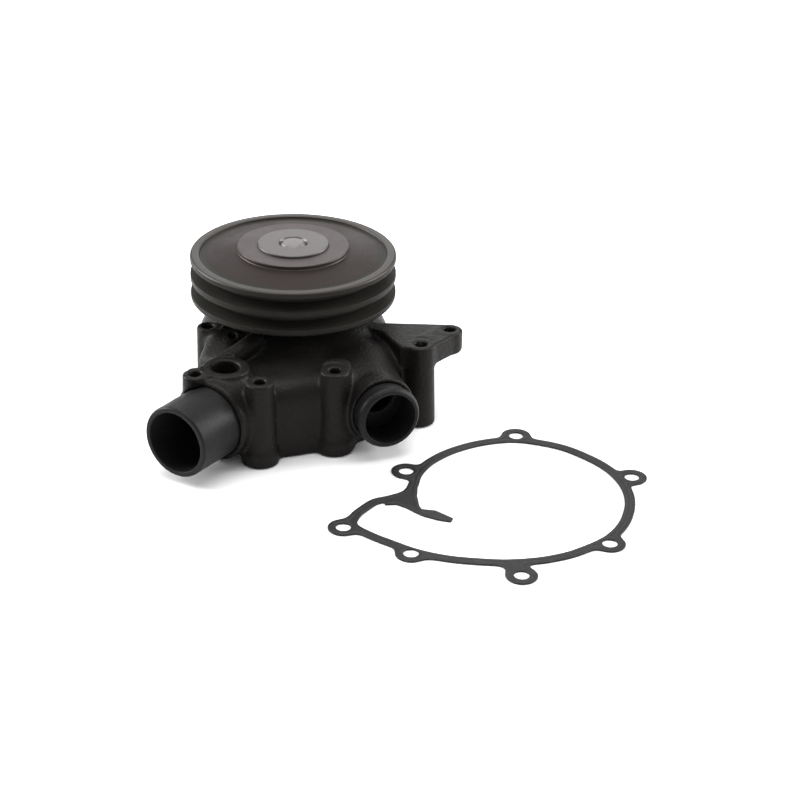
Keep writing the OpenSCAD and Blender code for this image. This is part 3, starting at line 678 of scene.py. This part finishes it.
def sheet_coating(name):
    """Dark coating on sheet steel, a little scuffed."""
    material, tree, shader, node = new_material(name)
    place = node("ShaderNodeTexCoord").outputs["Object"]
    cloud = node("ShaderNodeTexNoise", {"Vector": place}, Scale=45.0, Detail=5.0, Roughness=0.6)
    grain = node("ShaderNodeTexNoise", {"Vector": place}, Scale=1500.0, Detail=2.0)
    scuffs = node("ShaderNodeTexNoise", {"Vector": place}, Scale=210.0, Detail=4.0, Distortion=1.4)
    tone = shades(node, cloud.outputs["Fac"],
                  [(0.3, (0.0115, 0.0105, 0.0108)), (0.7, (0.019, 0.018, 0.018))])
    rub = node("ShaderNodeMapRange", {"Value": scuffs.outputs["Fac"]},
               **{"From Min": 0.58, "From Max": 0.72, "To Max": 0.35})
    mix = node("ShaderNodeMix", {"Factor": rub.outputs["Result"]}, data_type="RGBA")
    tree.links.new(tone, mix.inputs["A"])
    mix.inputs["B"].default_value = (0.06, 0.058, 0.057, 1)
    shader.inputs["Specular IOR Level"].default_value = 0.25
    tree.links.new(mix.outputs["Result"], shader.inputs["Base Color"])
    dull = node("ShaderNodeMapRange", {"Value": scuffs.outputs["Fac"]},
                **{"To Min": 0.42, "To Max": 0.62})
    tree.links.new(dull.outputs["Result"], shader.inputs["Roughness"])
    bump = node("ShaderNodeBump", {"Height": grain.outputs["Fac"]}, Strength=0.25, Distance=0.0001)
    tree.links.new(bump.outputs["Normal"], shader.inputs["Normal"])
    return material


gasket = add_piece("flange_gasket", verts * MM, faces, sheet_coating("gasket_dark"))
gasket.data.transform(Matrix.Translation((gasket_at[0] * MM, gasket_at[1] * MM, 0))
                      @ Matrix.Rotation(math.radians(gasket_turn), 4, "Z"))
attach(gasket, "gasket")
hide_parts("gasket")

# --- Bearings, seal and impeller ---------------------------------------------------------
# Two ball bearings with brass cages, a spring-loaded face seal and a cast impeller. They sit
# inside the casting and keep their own machined or moulded finishes.


def plain_finish(name, low, high, rough, metallic, scale, depth):
    """Moulded, ground or cast surface with a slight mottle."""
    material, tree, shader, node = new_material(name)
    place = node("ShaderNodeTexCoord").outputs["Object"]
    cloud = node("ShaderNodeTexNoise", {"Vector": place}, Scale=scale, Detail=4.0, Roughness=0.6)
    grain = node("ShaderNodeTexNoise", {"Vector": place}, Scale=scale * 9, Detail=3.0)
    tone = shades(node, cloud.outputs["Fac"], [(0.3, low), (0.7, high)])
    tree.links.new(tone, shader.inputs["Base Color"])
    dull = node("ShaderNodeMapRange", {"Value": grain.outputs["Fac"]},
                **{"To Min": rough - 0.08, "To Max": rough + 0.08})
    tree.links.new(dull.outputs["Result"], shader.inputs["Roughness"])
    bump = node("ShaderNodeBump", {"Height": grain.outputs["Fac"]}, Strength=depth, Distance=0.0002)
    tree.links.new(bump.outputs["Normal"], shader.inputs["Normal"])
    shader.inputs["Metallic"].default_value = metallic
    return material


inner_finishes = [
    (plain_finish("bearing_steel", (0.55, 0.56, 0.58), (0.66, 0.67, 0.68), 0.22, 1.0, 60, 0.05),
     ["lower_bearing_outer", "lower_bearing_inner", "lower_bearing_balls",
      "upper_bearing_outer", "upper_bearing_inner", "upper_bearing_balls"]),
    (plain_finish("cage_brass", (0.45, 0.33, 0.13), (0.6, 0.46, 0.2), 0.38, 1.0, 90, 0.15),
     ["lower_bearing_cage", "upper_bearing_cage"]),
    (plain_finish("seal_rubber", (0.018, 0.018, 0.018), (0.03, 0.03, 0.03), 0.6, 0.0, 120, 0.3),
     ["lower_bearing_shield", "upper_bearing_shield", "seal_bellows", "ceramic_boot"]),
    (plain_finish("spring_steel", (0.22, 0.22, 0.24), (0.34, 0.34, 0.36), 0.35, 1.0, 80, 0.1),
     ["circlip", "slinger", "seal_spring"]),
    (plain_finish("spacer_steel", (0.4, 0.4, 0.41), (0.52, 0.52, 0.53), 0.32, 1.0, 70, 0.1),
     ["bearing_spacer"]),
    (plain_finish("cup_brass", (0.55, 0.42, 0.18), (0.68, 0.54, 0.26), 0.3, 1.0, 70, 0.08),
     ["seal_cup"]),
    (plain_finish("raw_iron", (0.09, 0.087, 0.084), (0.17, 0.165, 0.16), 0.58, 0.5, 160, 0.7),
     ["impeller"]),
    (plain_finish("seal_carbon", (0.02, 0.02, 0.021), (0.035, 0.035, 0.036), 0.3, 0.0, 200, 0.1),
     ["carbon_ring"]),
    (plain_finish("seal_ceramic", (0.72, 0.70, 0.64), (0.8, 0.78, 0.73), 0.25, 0.0, 60, 0.05),
     ["ceramic_ring"]),
]
for material, names in inner_finishes:
    for name in names:
        mesh = nodes[name].data
        mesh.materials.clear()
        mesh.materials.append(material)

# --- Floor, light and camera -------------------------------------------------------------
# A plain flat white floor with a large soft box overhead, a smaller one at each side, and a small
# dim one low behind that lights the back of the pulley.


floor_mat, tree, shader, node = new_material("white_paper")
place = node("ShaderNodeTexCoord").outputs["Object"]
fibre = node("ShaderNodeTexNoise", {"Vector": place}, Scale=300.0, Detail=3.0)
paper = shades(node, fibre.outputs["Fac"], [(0.3, (0.93, 0.93, 0.93)), (0.7, (0.95, 0.95, 0.95))])
tree.links.new(paper, shader.inputs["Base Color"])
shader.inputs["Roughness"].default_value = 0.9
floor_mesh = bmesh.new()
bmesh.ops.create_grid(floor_mesh, x_segments=8, y_segments=8, size=6.0)
mesh = bpy.data.meshes.new("floor")
floor_mesh.to_mesh(mesh)
floor_mesh.free()
mesh.materials.append(floor_mat)
floor = bpy.data.objects.new("floor", mesh)
floor.location = (0, 0, -0.0004)
bpy.context.scene.collection.objects.link(floor)

world = bpy.data.worlds.new("studio")
world.use_nodes = True
world.node_tree.nodes["Background"].inputs["Color"].default_value = (1, 1, 1, 1)
world.node_tree.nodes["Background"].inputs["Strength"].default_value = 0.5
bpy.context.scene.world = world


def soft_box(name, at, aim, size, power):
    """A square lamp that looks at a point."""
    lamp = bpy.data.lights.new(name, "AREA")
    lamp.shape = "SQUARE"
    lamp.size = size
    lamp.energy = power
    holder = bpy.data.objects.new(name, lamp)
    holder.location = at
    holder.rotation_euler = (Vector(aim) - Vector(at)).to_track_quat("-Z", "Y").to_euler()
    bpy.context.scene.collection.objects.link(holder)


centre = (0.03, -0.04, 0.05)
soft_box("overhead", (0.0, 0.15, 1.7), centre, 1.6, 32)
soft_box("behind", (0.0, 0.55, 0.36), (0, 0.06, 0.1), 0.45, 1.0)
soft_box("left_side", (-1.35, 0.35, 0.6), centre, 0.8, 30)
soft_box("right_side", (1.5, 0.4, 0.65), centre, 0.8, 28)

camera = bpy.data.cameras.new("camera")
camera.lens = 94.5
camera.sensor_width = 36.0
camera.clip_end = 50.0
view = bpy.data.objects.new("camera", camera)
view.matrix_world = (Matrix.Translation((0.08084, -1.42674, 0.71804))
                     @ Matrix.Rotation(math.radians(90 - 26.998), 4, "X")
                     @ Matrix.Rotation(math.radians(1.189), 4, "Z"))
bpy.context.scene.collection.objects.link(view)
bpy.context.scene.camera = view
bpy.context.scene.view_settings.view_transform = "Standard"
